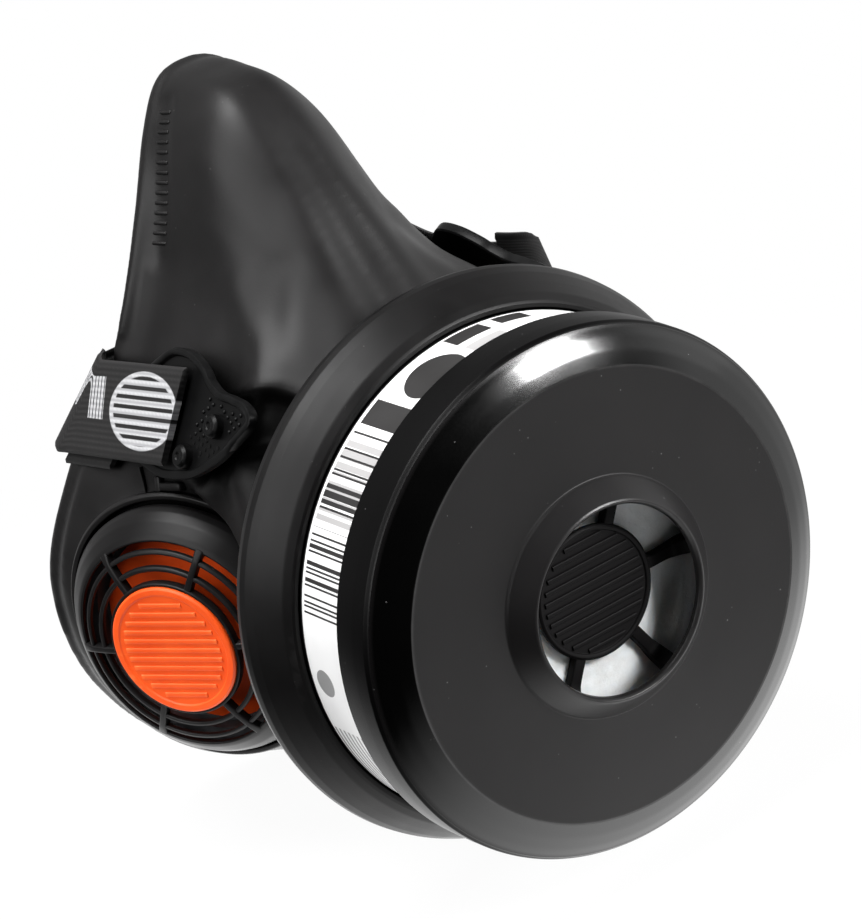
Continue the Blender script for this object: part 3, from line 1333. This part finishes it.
def band(stations, width, thick, slant=(0.0, 0.0)):
    """Strap through stations, with its UVs; slant shifts the start at the two edges."""
    steps, cross = 6, 27
    path = spline(np.array([point for point, _ in stations]), steps)
    across = spline(np.array([unit(direction) for _, direction in stations]), steps)
    across /= np.linalg.norm(across, axis=1, keepdims=True)
    tangent = np.gradient(path, axis=0)
    tangent /= np.linalg.norm(tangent, axis=1, keepdims=True)
    normal = np.cross(tangent, across)
    normal /= np.linalg.norm(normal, axis=1, keepdims=True)
    widths = width * FLANK_SPREAD / np.linalg.norm(across[:, 1:], axis=1)
    travel = run_length(path)
    share = np.linspace(0, 1, cross)
    # both faces draw together at the edges
    inset = np.clip(np.minimum(share, 1 - share) * width / (thick * 0.55), 0, 1)
    edge_drop = thick / 2 * (1 - np.sqrt(np.clip(1 - (1 - inset) ** 2, 0, 1)))
    flat = path[:, None] + across[:, None] * (widths[:, None] * share)[..., None]
    top = flat + normal[:, None] * (-edge_drop)[None, :, None]
    bottom = flat + normal[:, None] * (edge_drop - thick)[None, :, None]
    cut = ((slant[0] + (slant[1] - slant[0]) * share)[None, :]
           * np.clip(1 - travel / 14, 0, 1)[:, None])
    moved = tangent[:, None] * cut[..., None]
    skew = np.einsum("ij,ij->i", tangent, across)
    u = travel[:, None] + (widths * skew)[:, None] * share[None, :] + cut
    v = (widths * np.sqrt(np.clip(1 - skew ** 2, 0, 1)))[:, None] * share[None, :]
    uv = np.stack([u, v], -1).reshape(-1, 2)
    return grid_solid(top + moved, bottom + moved), np.concatenate([uv, uv])


def build_strap():
    solid, uv = band(strap_stations(), STRAP_WIDTH, STRAP_THICK, slant=(6.5, -3.5))
    strap = build("neck_strap_webbing", solid, MATERIALS["web"], uv=uv, sharp_angle=50, weld=0)
    attach(strap, "face", "neck_strap")


def build_under_layer():
    """Second layer on the left, showing as a darker edge below the outer one."""
    stations = [(on_flank(back, 2.3) * MIRROR + LEFT_DOWN * 3.4, LEFT_DOWN)
                for back in (14.5, 20, 27, 33.5)]
    solid, uv = band(stations, width=25.5, thick=1.3)
    layer = build("neck_strap_under_layer", solid, MATERIALS["web_under"], uv=uv,
                  sharp_angle=50, weld=0)
    attach(layer, "face", "neck_strap", replaces=False)


# ------------------------------------------------------------------ kept CAD pieces
CAD_MATERIALS = {
    "mount_clamp_ring": "inner", "inhalation_seat": "inner", "inhalation_membrane": "membrane",
    "filter_gasket": "gasket", "filter_case_rear": "case", "filter_outlet_grid": "inner",
    "pleated_media": "paper", "media_frame": "glue", "filter_case_front": "case",
    "valve_body_left": "inner", "valve_body_right": "inner",
    "exhalation_membrane_left": "membrane", "exhalation_membrane_right": "membrane",
    "strap_slider": "yoke"}


def paint_cad_pieces():
    for node, key in CAD_MATERIALS.items():
        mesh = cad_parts[node].data
        mesh.materials.clear()
        mesh.materials.append(MATERIALS[key])
        for polygon in mesh.polygons:
            polygon.material_index = 0


# ------------------------------------------------------------------ stage, in metres
FLOOR_Z = -0.0637
FLOOR_CORNERS = [(-3, -2.5, FLOOR_Z), (3, -2.5, FLOOR_Z), (3, 4, FLOOR_Z), (-3, 4, FLOOR_Z)]
# name, place, aim, width, height, watts
LIGHTS = (
    ("key", (0.385, -0.615, 0.338), (0, 0, 0), 0.20, 0.22, 8.5),
    ("left", (-0.86, -0.05, 0.46), (-0.02, 0.04, 0.02), 0.6, 0.6, 6.5),
    ("top", (-0.26, 0.05, 0.79), (0, 0.03, 0), 0.5, 0.5, 11.0))
CAMERA_PLACE = (-0.33255, -0.58573, 0.29107)
CAMERA_UP, CAMERA_BACK = (0.400, 0.187, 0.897), (-0.452, -0.812, 0.370)


def floor_paper():
    m = Material("floor_paper")
    path = m.node("ShaderNodeLightPath")
    paper = m.mix(m.noise(scale=4), base=(0.86, 0.86, 0.86), over=(0.90, 0.90, 0.90))
    m.set(color=paper, rough=0.8, spec=0.1)
    x, y, _ = m.position()
    distance = (x ** 2.0 + (y - 0.03) ** 2.0).sqrt()
    # the camera sees plain white with a faint contact shadow
    white = m.node("ShaderNodeEmission")
    whiteness = m.ramp(distance, start=0.09, stop=0.28, low=0.95, high=1.0, kind="SMOOTHSTEP")
    seen = m.mix_shaders(whiteness.socket, m.surface.outputs[0], white.outputs[0])
    # the object sees a sheet bright beneath it and to the right, fading to the front left
    bounce = m.node("ShaderNodeEmission")
    front_left = x * -0.94 + y * -0.34
    glow = (m.ramp(front_left, start=0.14, stop=0.02, kind="SMOOTHSTEP")
            * m.ramp(distance, start=0.08, stop=0.22, low=2.2, high=0.8, kind="SMOOTHSTEP"))
    m.put(bounce.inputs[1], glow)
    both = m.mix_shaders(path.outputs["Is Camera Ray"], bounce.outputs[0], seen)
    m.link(both, m.output.inputs[0])
    return m.material


def add_floor():
    mesh = bpy.data.meshes.new("floor")
    mesh.from_pydata(FLOOR_CORNERS, [], [(0, 1, 2, 3)])
    floor = bpy.data.objects.new("floor", mesh)
    bpy.context.scene.collection.objects.link(floor)
    mesh.materials.append(floor_paper())


def add_world():
    """White to the camera; for light, a pale wall to the right, dim behind and above."""
    world = bpy.data.worlds.new("studio")
    bpy.context.scene.world = world
    world.use_nodes = True
    graph = Graph(world.node_tree)
    output = graph.node("ShaderNodeOutputWorld")
    path = graph.node("ShaderNodeLightPath")
    seen, lit = [graph.node("ShaderNodeBackground") for _ in range(2)]
    for background in (seen, lit):
        background.inputs[0].default_value = (1, 1, 1, 1)
    seen.inputs[1].default_value = 1.0
    coord = graph.node("ShaderNodeTexCoord")
    x, y, z = graph.split(coord.outputs["Generated"])
    right = graph.ramp(x, start=0.66, stop=0.90, high=1.1, kind="SMOOTHSTEP")
    behind = graph.ramp(y, start=0.15, stop=0.8, high=0.42, kind="SMOOTHSTEP")
    above = graph.ramp(z, start=0.5, stop=0.95, high=0.20, kind="SMOOTHSTEP")
    glow = graph.math("ADD", right, graph.math("ADD", behind, above))
    graph.put(lit.inputs[1], glow)
    both = graph.mix_shaders(path.outputs["Is Camera Ray"], lit.outputs[0], seen.outputs[0])
    graph.link(both, output.inputs[0])


def add_light(name, place, aim, width, height, watts):
    light = bpy.data.lights.new(name, "AREA")
    light.shape = "RECTANGLE"
    light.size, light.size_y = width, height
    light.energy = watts
    obj = bpy.data.objects.new(name, light)
    bpy.context.scene.collection.objects.link(obj)
    obj.location = place
    obj.rotation_mode = "QUATERNION"
    obj.rotation_quaternion = (Vector(aim) - Vector(place)).to_track_quat("-Z", "Y")
    obj.visible_camera = False


def add_camera():
    camera = bpy.data.cameras.new("camera")
    camera.sensor_width = 36
    camera.lens = 136.96
    camera.clip_start, camera.clip_end = 0.05, 20
    obj = bpy.data.objects.new("camera", camera)
    bpy.context.scene.collection.objects.link(obj)
    obj.location = CAMERA_PLACE
    back, up = Vector(CAMERA_BACK).normalized(), Vector(CAMERA_UP)
    up = (up - up.dot(back) * back).normalized()
    axes = Matrix((up.cross(back), up, back)).transposed()
    obj.rotation_mode = "QUATERNION"
    obj.rotation_quaternion = axes.to_quaternion()
    bpy.context.scene.camera = obj


# ------------------------------------------------------------------ assembly
build_face()
build_valve_lips()
build_face_details()
build_mount()
build_cap()
build_sleeve()
build_pad()
for side, word in SIDES:
    build_valve_cover(side, word)
    build_badge(side, word)
for side, word in SIDES:
    build_yoke(side, word)
build_rivets()
build_strap()
build_under_layer()
paint_cad_pieces()

add_floor()
bpy.context.scene.view_settings.view_transform = "Standard"
add_world()
for light in LIGHTS:
    add_light(*light)
add_camera()
